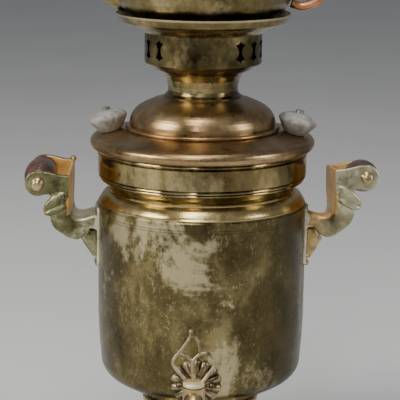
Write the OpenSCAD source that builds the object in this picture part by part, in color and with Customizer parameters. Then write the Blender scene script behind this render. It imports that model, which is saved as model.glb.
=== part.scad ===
// Charcoal samovar of sheet brass: jar body, lift-off lid, pierced crown, teapot, tap and two handles.
// Millimetres. Z is up, the tap faces -Y, the handles stand along X, and Z = 0 is the table.

/* [Body] */
// Outer radius of the jar body
body_r = 110.2; // [95:0.1:125]
// Thickness of the sheet brass
sheet_t = 1.6; // [1.2:0.1:2.2]
// Outer radius of the body where its bowl meets the base
seam_r = 57; // [48:0.5:66]
// Radius of the rounding between side and bowl
bowl_round_r = 22; // [16:0.5:28]
// Slope of the bowl under the rounding, in degrees
bowl_slope = 30; // [22:1:36]
// How much narrower the side is at its foot
side_taper = 3; // [0:0.5:5]
// Height of the side above the rounding
side_h = 171; // [150:1:200]
// Height of the shoulder moulding
shoulder_h = 13; // [10:0.5:18]
// How far the shoulder draws in
shoulder_in = 11; // [8:0.5:14]
// How much smaller the radius of the collar wall is than the body's
collar_in = 0.2; // [0.1:0.1:6]
// Height of the plain collar wall
collar_wall_h = 20; // [14:0.5:30]
// Height of the tapered foot of the collar
collar_foot_h = 18; // [14:0.5:24]

/* [Base] */
// Diameter of each ball foot
foot_d = 30; // [24:1:36]
// Height of each ball foot
foot_h = 16; // [12:0.5:24]
// Distance between the centres of neighbouring feet
foot_pitch = 116; // [100:1:130]
// Width of the square plinth
plinth_w = 158; // [145:1:180]
// Height of the plinth
plinth_h = 18; // [14:1:26]
// Outer radius of the air skirt where it stands on the plinth
skirt_r = 68; // [62:0.5:70]
// Height of the air skirt
skirt_h = 43; // [34:0.5:60]
// Diameter of each draught hole in the skirt
draught_d = 10; // [6:0.5:12]
// Number of draught holes
draught_n = 12; // [6:1:14]
// Height of the moulded ring between skirt and body
seat_ring_h = 10; // [8:0.5:14]

/* [Fire tube] */
// Outer radius of the fire tube at the grate
tube_foot_r = 45; // [40:0.5:48]
// Outer radius of the fire tube at its mouth
tube_top_r = 32; // [28:0.1:33]
// Wall of the fire tube
tube_t = 1.8; // [1.2:0.1:2.4]
// How far the fire tube stands above the lid
tube_proud = 6; // [3:0.5:9]
// Thickness of the cast grate
grate_t = 5; // [3:0.5:8]

/* [Lid] */
// How far the rolled lid rim stands out beyond the collar wall
lid_over = 7.8; // [6:0.1:10]
// Radius of the roll itself
roll_r = 6.5; // [5:0.1:7.5]
// How far the sloping flange rises
flange_rise = 7.4; // [4:0.1:12]
// Width of the lid from its rim in to the foot of the dome
flange_w = 41.2; // [38:0.1:48]
// Height of the dome
dome_h = 30; // [24:0.5:38]
// Diameter of each lid knob
knob_d = 40; // [34:0.5:44]
// Height of each lid knob
knob_h = 23; // [18:0.5:28]
// Distance of each knob's middle from the lid rim
knob_in = 21.8; // [20:0.1:27]
// Outer diameter of the steam vent's cap
vent_cap_d = 19; // [16:0.5:22]

/* [Crown] */
// Outer radius of the foot of the crown's neck
crown_foot_r = 40.6; // [39:0.1:43]
// Outer radius of the neck at its waist
neck_r = 36.4; // [36:0.1:38]
// Height of the neck
neck_h = 24; // [20:0.5:34]
// Height of the bowl between neck and gallery
crown_bowl_h = 13; // [10:0.5:18]
// Outer radius of the pierced gallery
gallery_r = 61; // [56:0.5:66]
// Height of the pierced gallery
gallery_h = 29; // [27:0.5:38]
// Height of one gallery slot
slot_h = 22; // [16:0.5:24]
// Width of one gallery slot across its flared ends
slot_w = 12; // [8:0.5:15]
// Angle between neighbouring slots of a group, in degrees
slot_pitch = 19.6; // [16:0.2:24]
// Outer radius of the dish rim
dish_r = 91; // [86:0.5:98]
// Height of the dish above the gallery
dish_h = 21; // [18:0.5:26]

/* [Handles] */
// How far the middle of each grip stands out from the body
grip_out = 59.8; // [58:0.1:66]
// Height of the grips above the foot of the shoulder
grip_z = 25; // [20:0.5:30]
// Width of a handle over both cheeks
handle_w = 96; // [84:1:108]
// Width of a handle where it meets the body
stem_w = 47; // [38:1:54]
// Thickness of a handle's cheeks
cheek_t = 8; // [6:0.5:10]
// Thickness of a handle's web
web_t = 3; // [2:0.5:5]
// Largest diameter of a grip
grip_d = 34; // [28:0.5:36]
// Diameter of the rod through a grip
rod_d = 6; // [4:0.5:8]
// Turn of the right handle on its rivets, in degrees
right_turn = 8; // [0:0.5:10]
// Turn of both handles round the body, from square to the tap, in degrees
handle_az = 3.7; // [0:0.1:8]

/* [Tap] */
// Height of the tap above the body's lower seam
tap_up = 44; // [42:0.5:60]
// Distance from the axis to the middle of the barrel
tap_reach = 152; // [145:0.5:165]
// Outer radius of the barrel
barrel_r = 11.5; // [10.5:0.1:13]
// Height of the barrel above the tap's own axis
barrel_up = 12.4; // [11.5:0.1:15]
// Depth of the barrel below the tap's own axis
barrel_down = 20; // [16:0.5:26]
// Radius of the key's plug at its top
plug_top_r = 7.2; // [6:0.1:8]
// Radius of the key's plug at its foot
plug_foot_r = 5.6; // [5:0.1:5.9]
// Radial clearance of the plug in the barrel
plug_clear = 0.05; // [0.02:0.01:0.09]
// Height of the key's openwork handle
key_h = 54; // [42:0.5:60]
// Width of the key's bars
key_bar = 2.8; // [2.2:0.1:3.6]
// Outer radius of the spout
spout_r = 9.6; // [8.6:0.1:10.4]
// Radius of the waterway
water_r = 4.5; // [3.5:0.1:5]
// Radius of the spout's bend
bend_r = 15; // [13:0.5:20]
// Length of the spout below its bend
spout_drop = 12; // [6:0.5:24]
// Outer radius of the shell rosette
rosette_r = 26.5; // [24:0.5:30]
// Number of petals on the rosette
petal_n = 14; // [8:1:16]

/* [Teapot] */
// How much larger the teapot's radius is than the dish rim's
pot_over = 2; // [0:0.5:6]
// Height of the teapot's body above the crown
pot_h = 100; // [90:1:120]
// Radius of the teapot's foot ring
pot_foot_r = 54; // [46:0.5:58]
// Radius of the teapot's mouth
pot_mouth_r = 46; // [40:0.5:52]
// Wall of the teapot
pot_t = 1.6; // [1.2:0.1:2.2]
// Radius of the spout at its tip
pot_tip_r = 7; // [6:0.25:9]
// Radius of the handle's bar
pot_bar_r = 5; // [4:0.25:6]

/* [Hidden] */
$fn = 96;
SIDES = [-1, 1];
GROUP_AZ = [-64.6, 60, 177.7];   // middles of the three slot groups, from the front
RIVET_D = 6;
PLATE_T = 2.6;
SEAT_GAP = 0.3;                  // running gap between loose pieces
ROD_GAP = 0.1;                   // radial clearance of the rods in the cheeks

// Heights of the seams, from the table up
z_plinth = foot_h;
z_skirt = z_plinth + plinth_h;
z_seat_ring = z_skirt + skirt_h;
z_seam = z_seat_ring + seat_ring_h;
foot_of_side_r = body_r - side_taper;
collar_r = body_r - collar_in;
lid_r = collar_r + lid_over;
dome_r = lid_r - flange_w;
knob_at_r = lid_r - knob_in;
round_c = [foot_of_side_r - bowl_round_r,
           z_seam + bowl_round_r * cos(bowl_slope)
           + (foot_of_side_r - bowl_round_r * (1 - sin(bowl_slope)) - seam_r) * tan(bowl_slope)];
z_crease = round_c.y + side_h;
z_collar = z_crease + shoulder_h;
collar_foot_r = body_r - 1 - shoulder_in;
z_collar_wall = z_collar + collar_foot_h;
z_collar_top = z_collar_wall + collar_wall_h + 6.2;
collar_top_r = collar_r - 2.4;
roll_c = [lid_r - roll_r, z_collar_top + roll_r - 0.7];
flange_in_r = dome_r + 3;
z_flange_out = roll_c.y + roll_r * sin(115);
flange_out_r = roll_c.x + roll_r * cos(115);
flange_slope = atan(flange_rise / (flange_out_r - flange_in_r));
z_flange_in = z_flange_out + flange_rise;
z_dome = z_flange_in + 4.2;
z_lid_top = z_dome + dome_h;
lid_hole_r = tube_top_r + 3;
z_bowl = z_lid_top + neck_h;
z_gallery = z_bowl + crown_bowl_h;
z_dish = z_gallery + gallery_h;
z_floor = z_dish + 4.6;
z_rim = z_dish + dish_h;
tap_z = z_seam + tap_up;
grip_at_r = body_r + grip_out;
pot_r = dish_r + pot_over;
z_key = tap_z + barrel_up + SEAT_GAP;
KEY_FLANGE_T = 2.6;
z_grip = z_crease + grip_z;

// A path's point i, moved by t to the left of the way the path runs
function unit(v) = v / norm(v);
function left_of(v) = [-v.y, v.x];
function step_before(p, i) = unit(i > 0 ? p[i] - p[i - 1] : p[1] - p[0]);
function step_after(p, i) = unit(i < len(p) - 1 ? p[i + 1] - p[i] : p[i] - p[i - 1]);
function inset_point(p, i, t) =
    let (a = left_of(step_before(p, i)), b = left_of(step_after(p, i)), m = unit(a + b))
    p[i] + m * t / max(0.4, m * a);
function inset(p, t) = [for (i = [0 : len(p) - 1]) inset_point(p, i, t)];
function reversed(p) = [for (i = [len(p) - 1 : -1 : 0]) p[i]];
function arc(c, r, from, to, n = 8) =
    [for (i = [0 : n]) let (a = from + (to - from) * i / n) c + r * [cos(a), sin(a)]];
function oval(c, rx, ry, from, to, n = 8) =
    [for (i = [0 : n]) let (a = from + (to - from) * i / n) c + [rx * cos(a), ry * sin(a)]];

// A smooth path through the points of p, in n steps between neighbours
function curved(p, n) = concat(
    [for (i = [0 : len(p) - 2], k = [0 : n - 1])
        let (t = k / n, a = p[max(0, i - 1)], b = p[i], c = p[i + 1], d = p[min(len(p) - 1, i + 2)])
        (2 * b + (c - a) * t + (2 * a - 5 * b + 4 * c - d) * t * t + (3 * b - a - 3 * c + d) * t * t * t) / 2],
    [p[len(p) - 1]]);

// A spun sheet: path runs up its outside, t is its thickness
module spun(path, t) {
    rotate_extrude() polygon(concat(path, reversed(inset(path, t))));
}
module turned(outline) {
    rotate_extrude() polygon(outline);
}
// A round bar or tube along a path in the XZ plane, radius rad[i] at point i
function lies_across(path, i) =
    let (d = step_before(path, i) + step_after(path, i)) unit([-d.y, d.x]);
module bar(path, rad, sides = 16) {
    rings = len(path);
    points = [for (i = [0 : rings - 1], k = [0 : sides - 1])
        let (a = 360 * k / sides, n = lies_across(path, i))
        [path[i].x + rad[i] * cos(a) * n.x, rad[i] * sin(a), path[i].y + rad[i] * cos(a) * n.y]];
    skin = [for (i = [0 : rings - 2], k = [0 : sides - 1])
        let (a = i * sides + k, b = i * sides + (k + 1) % sides) each
        [[a, b, a + sides], [b, b + sides, a + sides]]];
    ends = [[for (k = [sides - 1 : -1 : 0]) k], [for (k = [0 : sides - 1]) (rings - 1) * sides + k]];
    polyhedron(points, concat(skin, ends));
}
// Turns children so that their Z axis points to the front
module facing_front() {
    rotate([90, 0, 0]) children();
}

// ---- Base ----
module base_feet() {
    color("#8a7440") for (x = SIDES, y = SIDES)
        translate([x * foot_pitch / 2, y * foot_pitch / 2, 0]) turned(concat(
            [[0, 0], [foot_d * 0.3, 0]],
            oval([foot_d * 0.3, foot_h * 0.45], foot_d * 0.2, foot_h * 0.45, -90, 90),
            [[foot_d * 0.24, foot_h], [0, foot_h]]));
}
module plinth_step(w, h, z) {
    scoop_r = w * 1.4;
    translate([0, 0, z]) linear_extrude(h) difference() {
        square(w, center = true);
        for (a = [0 : 90 : 270]) rotate(a) translate([w / 2 + scoop_r - w * 0.04, 0]) circle(scoop_r);
        for (a = [45 : 90 : 315]) rotate(a) translate([w * 0.7071, 0])
            square([w * 0.09, w], center = true);
    }
}
module base_plinth() {
    color("#8c7642") difference() {
        union() {
            plinth_step(plinth_w, plinth_h * 0.4, z_plinth);
            plinth_step(plinth_w - 12, plinth_h * 0.3, z_plinth + plinth_h * 0.4);
            translate([0, 0, z_plinth + plinth_h * 0.7]) cylinder(r = skirt_r + 3, h = plinth_h * 0.3);
        }
        translate([0, 0, z_plinth - 1]) cylinder(r = skirt_r - 8, h = plinth_h + 2);
    }
}
// A plain ring under the plinth, which keeps the ash together on the tray
module ash_ring() {
    color("#8a7440") rotate_extrude()
        translate([skirt_r - 8, 0]) square([sheet_t, z_plinth]);
}
function skirt_path() =
    let (top_r = seam_r + 1)
    [[skirt_r, z_skirt], [skirt_r, z_skirt + 3],
     for (i = [1 : 7]) let (u = i / 8)
         [skirt_r - 2 - (skirt_r - 2 - top_r) * sin(90 * u), z_skirt + 3 + (skirt_h - 6) * u],
     [top_r, z_seat_ring - 3], [top_r, z_seat_ring]];
module air_skirt() {
    color("#8a7440") difference() {
        spun(skirt_path(), sheet_t + 0.4);
        for (i = [0 : draught_n - 1]) rotate(i * 360 / draught_n + 180 / draught_n)
            translate([0, 0, z_skirt + skirt_h * 0.42]) facing_front() translate([0, 0, seam_r - 12])
            cylinder(d = draught_d, h = skirt_r);
    }
}
module seat_ring() {
    in_r = tube_foot_r - 6;
    color("#9a8248") turned(concat(
        [[in_r, z_seat_ring], [seam_r + 1, z_seat_ring]],
        oval([seam_r + 1, z_seat_ring + seat_ring_h / 2], 5, seat_ring_h / 2, -90, 90),
        [[seam_r - sheet_t - 1, z_seam], [seam_r - sheet_t - 1, z_seam - 3], [in_r, z_seam - 3]]));
}

// ---- Body ----
function side_path() = concat(
    [[seam_r, z_seam]],
    arc(round_c, bowl_round_r, bowl_slope - 90, 0, 10),
    [[body_r - side_taper * 0.4, round_c.y + side_h * 0.13],
     [body_r, round_c.y + side_h * 0.27], [body_r, z_crease - 2.4], [body_r - 1, z_crease - 1],
     [body_r - 1, z_crease]]);
// The space inside the body's outer skin, for what is shaped to lie against it
module body_space() {
    turned(concat([[0, z_seam]], side_path(), [[0, z_crease]]));
}
module tap_hole(r) {
    translate([0, 0, tap_z]) facing_front() cylinder(r = r, h = body_r + 5);
}
module body_shell() {
    color("#7d7443") difference() {
        spun(side_path(), sheet_t);
        tap_hole(STUB_R);
        rosette_rivet_holes();
        for (side = SIDES) {
            left_place() plate_rivet_place(0, side) rivet_hole();
            right_place() plate_rivet_place(-right_turn, side) rivet_hole();
        }
    }
}
function shoulder_path() =
    let (foot = [body_r - 1, z_crease], top = [collar_foot_r, z_collar])
    [foot, foot + [0, 0.6],
     for (i = [1 : 7]) let (u = i / 8)
         foot + [-shoulder_in * u, shoulder_h * u] + [0.77, 0.64] * 1.3 * sin(180 * u),
     top - [0, 0.8], top];
module shoulder_ring() {
    color("#a08a55") spun(shoulder_path(), sheet_t);
}
function collar_path() = concat(
    [[collar_foot_r, z_collar], [collar_foot_r, z_collar + 1.2],
     [collar_foot_r + 3, z_collar + collar_foot_h * 0.32],
     [collar_r - 4.6, z_collar + collar_foot_h * 0.58]],
    arc([collar_r - 3.4, z_collar + collar_foot_h * 0.68], 1.3, -80, 80, 4),
    arc([collar_r - 2.0, z_collar + collar_foot_h * 0.85], 1.4, -80, 80, 4),
    [[collar_r, z_collar_wall], [collar_r, z_collar_wall + collar_wall_h],
     [collar_r - 1.4, z_collar_wall + collar_wall_h + 0.6], [collar_top_r, z_collar_top - 4.8]],
    arc([collar_top_r, z_collar_top - 2.8], 1.7, -70, 70, 4),
    [[collar_top_r, z_collar_top - 0.8], [collar_top_r, z_collar_top]]);
module collar() {
    color("#8d7a45") spun(collar_path(), sheet_t);
}

// ---- Fire tube and grate ----
module fire_tube() {
    foot = z_seam - 3;
    outside = [[tube_foot_r, foot], [tube_foot_r, foot + 30], [tube_top_r + 1, z_collar],
               [tube_top_r, z_collar_top], [tube_top_r, z_lid_top + tube_proud]];
    color("#6e5f38") spun(outside, tube_t);
}
module fire_grate() {
    slot_gap = tube_foot_r / 4;
    color("#3a3836") translate([0, 0, z_seam - 3]) difference() {
        cylinder(r = tube_foot_r - tube_t - 1, h = grate_t);
        for (k = [-3 : 3]) let (x = k * slot_gap, half = sqrt(pow(tube_foot_r * 0.8, 2) - x * x))
            translate([x - 2, -half, -1]) cube([4, 2 * half, grate_t + 2]);
    }
}

// ---- Lid ----
function dome_path() = concat(
    [[dome_r - 0.4, z_dome]],
    oval([dome_r - dome_r * 0.35, z_dome + 2.4], dome_r * 0.35, dome_h * 0.74, 0, 60, 8),
    [[crown_foot_r + 11, z_lid_top - 3.2], [crown_foot_r + 3, z_lid_top - 0.8],
     [crown_foot_r + 1, z_lid_top], [lid_hole_r, z_lid_top]]);
function lid_path() =
    let (skirt = collar_top_r - sheet_t - 1.1)
    concat(
        [[skirt, z_collar_top - 7], [skirt, z_collar_top], [collar_top_r + 0.4, z_collar_top]],
        arc(roll_c, roll_r, -118, 115, 14),
        [[flange_in_r, z_flange_in]],
        arc([flange_in_r - 0.4, z_flange_in + 2], 1.9, -50, 70, 5),
        dome_path());
// Puts children on the lid's flange, at radius r, with Z along the flange's normal
module on_flange(r, az) {
    rotate(az) translate([r, 0, z_flange_out + (flange_out_r - r) * tan(flange_slope)])
        rotate([0, flange_slope, 0]) children();
}
BOLT_R = 2;
VENT_BORE_R = 4.5;
vent_at_r = (flange_in_r + flange_out_r) / 2;
module lid_shell() {
    color("#8a5f3a") difference() {
        spun(lid_path(), sheet_t - 0.2);
        for (az = [0, 180]) on_flange(knob_at_r, az)
            translate([0, 0, -8]) cylinder(r = BOLT_R + ROD_GAP, h = 16);
        on_flange(vent_at_r, 90) translate([0, 0, -8]) cylinder(r = VENT_BORE_R, h = 16);
    }
}
KNOB_LIFT = 0.1;
module lid_knob(az) {
    color("#b9b4ab") on_flange(knob_at_r, az) translate([0, 0, KNOB_LIFT]) turned(concat(
        [[BOLT_R + ROD_GAP, 0], [knob_d * 0.26, 0], [knob_d * 0.31, knob_h * 0.05]],
        [[knob_d * 0.38, knob_h * 0.17]],
        oval([knob_d * 0.26, knob_h * 0.6], knob_d * 0.24, knob_h * 0.35, -46, 90, 10),
        [[BOLT_R + ROD_GAP, knob_h * 0.97]]));
}
module lid_knob_left() lid_knob(180);
module lid_knob_right() lid_knob(0);
NUT_H = 2.8;
module lid_knob_bolts() {
    under = -(sheet_t + 0.6);
    color("#8f8a80") for (az = [0, 180]) on_flange(knob_at_r, az) union() {
        translate([0, 0, under]) cylinder(r = BOLT_R, h = knob_h * 0.97 + KNOB_LIFT + NUT_H + 0.6 - under);
        translate([0, 0, under - 2]) cylinder(r = BOLT_R * 2, h = 2);
    }
}
module lid_knob_nuts() {
    color("#8f8a80") for (az = [0, 180]) on_flange(knob_at_r, az)
        translate([0, 0, knob_h * 0.97 + KNOB_LIFT]) difference() {
            cylinder(r = 4.4, h = NUT_H);
            translate([0, 0, -1]) cylinder(r = BOLT_R, h = NUT_H + 2);
        }
}
VENT_H = 8;
module steam_vent() {
    seat_r = VENT_BORE_R + 3;
    color("#9a8248") on_flange(vent_at_r, 90) translate([0, 0, KNOB_LIFT]) turned(
        [[VENT_BORE_R, 0], [seat_r + 1, 0], [seat_r + 1, 1.4], [seat_r - 1, 2], [seat_r - 1, VENT_H - 1.6],
         [seat_r, VENT_H - 1], [seat_r, VENT_H], [VENT_BORE_R, VENT_H]]);
}
module vent_cap() {
    plug_r = VENT_BORE_R - 0.5;
    cap_r = vent_cap_d / 2;
    color("#a08a55") on_flange(vent_at_r, 90) translate([0, 0, VENT_H + KNOB_LIFT]) turned(concat(
        [[0, -4], [plug_r, -4], [plug_r, 0], [cap_r - 0.6, 0], [cap_r, 0.6]],
        oval([0, 0.6], cap_r, 4.4, 10, 70, 6),
        [[1.6, 5.6]],
        arc([0, 7.6], 2.6, -50, 90, 6)));
}

// ---- Crown ----
function neck_path() = [
    [crown_foot_r, z_lid_top], [crown_foot_r, z_lid_top + 1.2], [crown_foot_r - 1.2, z_lid_top + 2.2],
    [neck_r + 1.2, z_lid_top + 3.8], [neck_r + 0.2, z_lid_top + 6], [neck_r, z_lid_top + neck_h * 0.3],
    [neck_r + 0.5, z_lid_top + neck_h * 0.5], [neck_r + 2.1, z_lid_top + neck_h * 0.77],
    [neck_r + 5.1, z_bowl]];
function crown_bowl_path() =
    let (w = gallery_r - neck_r - 7.1)
    [[neck_r + 7.1, z_bowl + crown_bowl_h * 0.16], [neck_r + 7.1 + w * 0.34, z_bowl + crown_bowl_h * 0.3],
     [neck_r + 7.1 + w * 0.6, z_bowl + crown_bowl_h * 0.5], [gallery_r - 2, z_gallery - crown_bowl_h * 0.2],
     [gallery_r - 0.4, z_gallery - 1.2], [gallery_r - 0.4, z_gallery]];
module crown_neck() {
    color("#80733f") spun(concat(neck_path(), crown_bowl_path()), sheet_t);
}
// Half of a slot's outline, from its top point down to its waist
function slot_corner(w, h) = [
    [0, h / 2], [w * 0.14, h * 0.4], [w * 0.5, h * 0.34], [w * 0.28, h * 0.2], [w * 0.17, 0]];
function slot_outline(w, h) =
    let (q = slot_corner(w, h), low = [for (i = [3 : -1 : 0]) [q[i].x, -q[i].y]])
    concat(q, low, [for (i = [1 : 4]) [-q[i].x, -q[i].y]], [for (i = [3 : -1 : 1]) [-q[i].x, q[i].y]]);
module crown_gallery() {
    color("#7f7240") difference() {
        rotate_extrude() translate([gallery_r - sheet_t, z_gallery]) square([sheet_t, gallery_h]);
        for (az = GROUP_AZ, k = [-1 : 1]) rotate(az + k * slot_pitch)
            translate([0, 0, z_gallery + gallery_h / 2]) facing_front() linear_extrude(gallery_r + 5)
            polygon(slot_outline(slot_w, slot_h));
    }
}
function dish_path() =
    let (w = dish_r - gallery_r, h = dish_h)
    [[gallery_r, z_dish], [gallery_r, z_dish + 0.8], [gallery_r + w * 0.08, z_dish + h * 0.08],
     [gallery_r + w * 0.18, z_dish + h * 0.18], [gallery_r + w * 0.3, z_dish + h * 0.32],
     [gallery_r + w * 0.41, z_dish + h * 0.4], [gallery_r + w * 0.76, z_dish + h * 0.5],
     [gallery_r + w * 0.87, z_dish + h * 0.6], [gallery_r + w * 0.93, z_dish + h * 0.75],
     [dish_r - 0.3, z_rim - 1.2], [dish_r, z_rim]];
module crown_dish() {
    wall_r = gallery_r + (dish_r - gallery_r) * 0.12;
    color("#86743f") union() {
        spun(dish_path(), sheet_t);
        rotate_extrude() translate([tube_top_r + 6, z_floor - sheet_t])
            square([wall_r - tube_top_r - 6, sheet_t]);
    }
}

// ---- Handles ----
ROOT_R = body_r - 6.2;           // where the castings start, before the body is cut away
// Stations of the casting, from the body out and up: inner edge, outer edge, half width
function stations() =
    let (s = stem_w / 2, w = handle_w / 2, g = grip_at_r, z = z_grip) [
    [[ROOT_R, z - 37], [ROOT_R, z - 54], s], [[g - 53, z - 39], [g - 53, z - 52], s],
    [[g - 47, z - 41], [g - 47, z - 60], s + 0.5], [[g - 42, z - 42], [g - 40, z - 64], s + 2],
    [[g - 37, z - 41.5], [g - 32, z - 62], s + 5], [[g - 34, z - 39], [g - 24, z - 56], s + 10],
    [[g - 32.8, z - 34], [g - 16, z - 48], w - 9], [[g - 32.5, z - 28], [g - 12.5, z - 38], w - 4],
    [[g - 32.8, z - 22], [g - 13, z - 27], w - 1], [[g - 33, z - 16], [g - 13.5, z - 17], w - 0.4],
    [[g - 33, z - 4], [g - 15, z - 4], w - 0.4]];
// The channel's section at a station: a web at the inner edge and two cheeks out to the outer edge
function section(st) =
    let (d = unit(st[1] - st[0]), i0 = st[0], i1 = st[0] + 1.6 * d, i2 = st[0] + web_t * d, o = st[1],
         w = st[2], c = w - cheek_t + 0.8)
    [[i0.x, -w + 1.6, i0.y], [i1.x, -w, i1.y], [o.x, -w, o.y], [o.x, -c, o.y],
     [i2.x, -c, i2.y], [i2.x, c, i2.y], [o.x, c, o.y], [o.x, w, o.y],
     [i1.x, w, i1.y], [i0.x, w - 1.6, i0.y]];
module channel() {
    st = stations();
    rings = len(st);
    points = [for (s = st) each section(s)];
    skin = [for (i = [0 : rings - 2], k = [0 : 9])
        let (a = i * 10 + k, b = i * 10 + (k + 1) % 10) each
        [[a, a + 10, b], [b, a + 10, b + 10]]];
    ends = [[for (k = [0 : 9]) k], [for (k = [9 : -1 : 0]) (rings - 1) * 10 + k]];
    polyhedron(points, concat(skin, ends));
}
function head_outline() =
    let (g = grip_at_r, z = z_grip)
    concat([[g - 34.2, z - 16.5], [g - 13, z - 16.5], [g - 12.5, z - 10.5], [g - 8, z - 10.5]],
        arc([g, z + 0.5], 13, -108, 78, 14),
        [[g - 8, z + 12.5], [g - 20, z + 10], [g - 34.2, z + 8]]);
function web_top_outline() =
    let (x0 = grip_at_r - 33.7, x1 = x0 + web_t + 1.4, z = z_grip)
    [[x0, z - 14.5], [x1, z - 14.5], [x1, z + 9], [x0, z + 9]];
function leaf_outline() =
    let (g = grip_at_r, z = z_grip)
    [[g - 28, z - 22], [g - 22, z - 15], [g - 13, z - 13.5], [g - 9, z - 18], [g - 6.5, z - 23],
     [g - 6, z - 28], [g - 7, z - 33], [g - 10, z - 35.5], [g - 17, z - 33], [g - 24, z - 28]];
function wedge_outline() =
    let (g = grip_at_r, z = z_grip)
    [[ROOT_R, z - 45], [g - 45, z - 58], [g - 41, z - 64], [g - 42, z - 69], [g - 45, z - 76],
     [g - 50, z - 84], [g - 53, z - 87], [ROOT_R, z - 87]];
// An XZ outline, thick along Y, from y0 towards the back
module cheek(outline, y0, t) {
    translate([0, y0 + t, 0]) rotate([90, 0, 0]) linear_extrude(t) polygon(outline);
}
plate_h = 64;
z_plate = z_grip - 62;
function plate_outline() =
    let (r = 6, x = plate_h / 2 - r, y = stem_w / 2 - r)
    concat(arc([x, y], r, 0, 90), arc([-x, y], r, 90, 180),
        arc([-x, -y], r, 180, 270), arc([x, -y], r, 270, 360));
module plate(turn) {
    intersection() {
        translate([0, 0, z_plate - plate_h]) cylinder(r = body_r + PLATE_T, h = plate_h * 2);
        translate([body_r - 20, 0, z_plate]) rotate([turn, 0, 0]) rotate([0, 90, 0])
            linear_extrude(40) polygon(plate_outline());
    }
}
// Turns a handle about the line through the middle of its plate
module turned_handle(turn) {
    translate([0, 0, z_plate]) rotate([turn, 0, 0]) translate([0, 0, -z_plate]) children();
}
module handle_stem(turn) {
    difference() {
        union() {
            plate(turn);
            turned_handle(turn) {
                channel();
                cheek(wedge_outline(), -stem_w * 0.3, stem_w * 0.6);
            }
        }
        translate([0, 0, z_crease - 150]) cylinder(r = body_r, h = 200);
        for (side = SIDES) plate_rivet_place(turn, side) rivet_hole();
    }
}
module handle_fork(turn) {
    w = handle_w / 2;
    turned_handle(turn) difference() {
        union() {
            for (y0 = [-w, w - cheek_t]) cheek(head_outline(), y0, cheek_t);
            for (y0 = [-w - 1.4, w - cheek_t + 1]) cheek(leaf_outline(), y0, cheek_t + 0.4);
            cheek(web_top_outline(), -w + 4, handle_w - 8);
        }
        translate([grip_at_r, w + 5, z_grip]) facing_front()
            cylinder(d = rod_d + 2 * ROD_GAP, h = handle_w + 10);
    }
}
// Places children at one of the two lower rivets of a plate, with Z outwards
module plate_rivet_place(turn, side) {
    y = side * (stem_w / 2 - 6);
    down = 22;
    turned_y = y * cos(turn) + down * sin(turn);
    turned_z = y * sin(turn) - down * cos(turn);
    rotate(asin(turned_y / body_r)) translate([body_r, 0, z_plate + turned_z]) rotate([0, 90, 0]) children();
}
module left_place() {
    rotate(handle_az) mirror([1, 0, 0]) children();
}
module right_place() {
    rotate(handle_az) children();
}
module handle_left_stem() {
    color("#7c7855") left_place() handle_stem(0);
}
module handle_left_fork() {
    color("#7c7855") left_place() handle_fork(0);
}
module handle_right_stem() {
    color("#7c7855") right_place() handle_stem(-right_turn);
}
module handle_right_fork() {
    color("#7c7855") right_place() handle_fork(-right_turn);
}
grip_len = handle_w - 2 * cheek_t - 2 * SEAT_GAP;
module grip() {
    half = grip_len / 2;
    bore = rod_d / 2 + ROD_GAP;
    end_r = grip_d * 0.4;
    swell = [for (i = [0 : 12]) let (u = -1 + i / 6)
        [end_r + (grip_d / 2 - end_r) * cos(90 * u), u * (half - 12)]];
    color("#3d2018") translate([grip_at_r, 0, z_grip]) facing_front() turned(concat(
        [[bore, -half], [end_r - 1, -half], [end_r, -half + 1], [end_r, -half + 4],
         [end_r - 1.6, -half + 5.2], [end_r, -half + 6.4], [end_r, -half + 9], [end_r - 1.4, -half + 10.4]],
        swell,
        [[end_r - 1.4, half - 10.4], [end_r, half - 9], [end_r, half - 6.4], [end_r - 1.6, half - 5.2],
         [end_r, half - 4], [end_r, half - 1], [end_r - 1, half], [bore, half]]));
}
BUTTON_R = 6.8;
BUTTON_H = 7;
THREAD_R = 2;
module grip_rod() {
    color("#8d8662") translate([grip_at_r, 0, z_grip]) facing_front() {
        translate([0, 0, -handle_w / 2 - 5]) cylinder(r = THREAD_R, h = 10);
        translate([0, 0, -handle_w / 2]) cylinder(d = rod_d, h = handle_w);
        translate([0, 0, handle_w / 2]) turned(button_outline(0));
    }
}
function button_outline(bore) = concat(
    [[bore, 0], [BUTTON_R * 0.86, 0], [BUTTON_R, 1], [BUTTON_R, BUTTON_H * 0.6]],
    oval([BUTTON_R * 0.6, BUTTON_H * 0.6], BUTTON_R * 0.4, BUTTON_H * 0.4, 0, 90, 5),
    [[bore, BUTTON_H]]);
module rod_nut() {
    color("#8d8662") translate([grip_at_r, handle_w / 2, z_grip]) rotate([-90, 0, 0])
        turned(button_outline(THREAD_R));
}
module handle_left_grip() left_place() grip();
module handle_right_grip() right_place() turned_handle(-right_turn) grip();
module handle_left_rod() left_place() grip_rod();
module handle_right_rod() right_place() turned_handle(-right_turn) grip_rod();
module handle_left_nut() left_place() rod_nut();
module handle_right_nut() right_place() turned_handle(-right_turn) rod_nut();
module rivet_hole() {
    cylinder(d = RIVET_D / 2, h = 30, center = true);
}
module plate_rivet() {
    translate([0, 0, -sheet_t - 2]) cylinder(d = RIVET_D / 2, h = sheet_t + 2 + PLATE_T);
    translate([0, 0, PLATE_T]) cylinder(d1 = RIVET_D, d2 = RIVET_D * 0.5, h = 1.6);
}
module handle_rivets() {
    color("#8d8662") for (side = SIDES) {
        left_place() plate_rivet_place(0, side) plate_rivet();
        right_place() plate_rivet_place(-right_turn, side) plate_rivet();
    }
}

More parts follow.
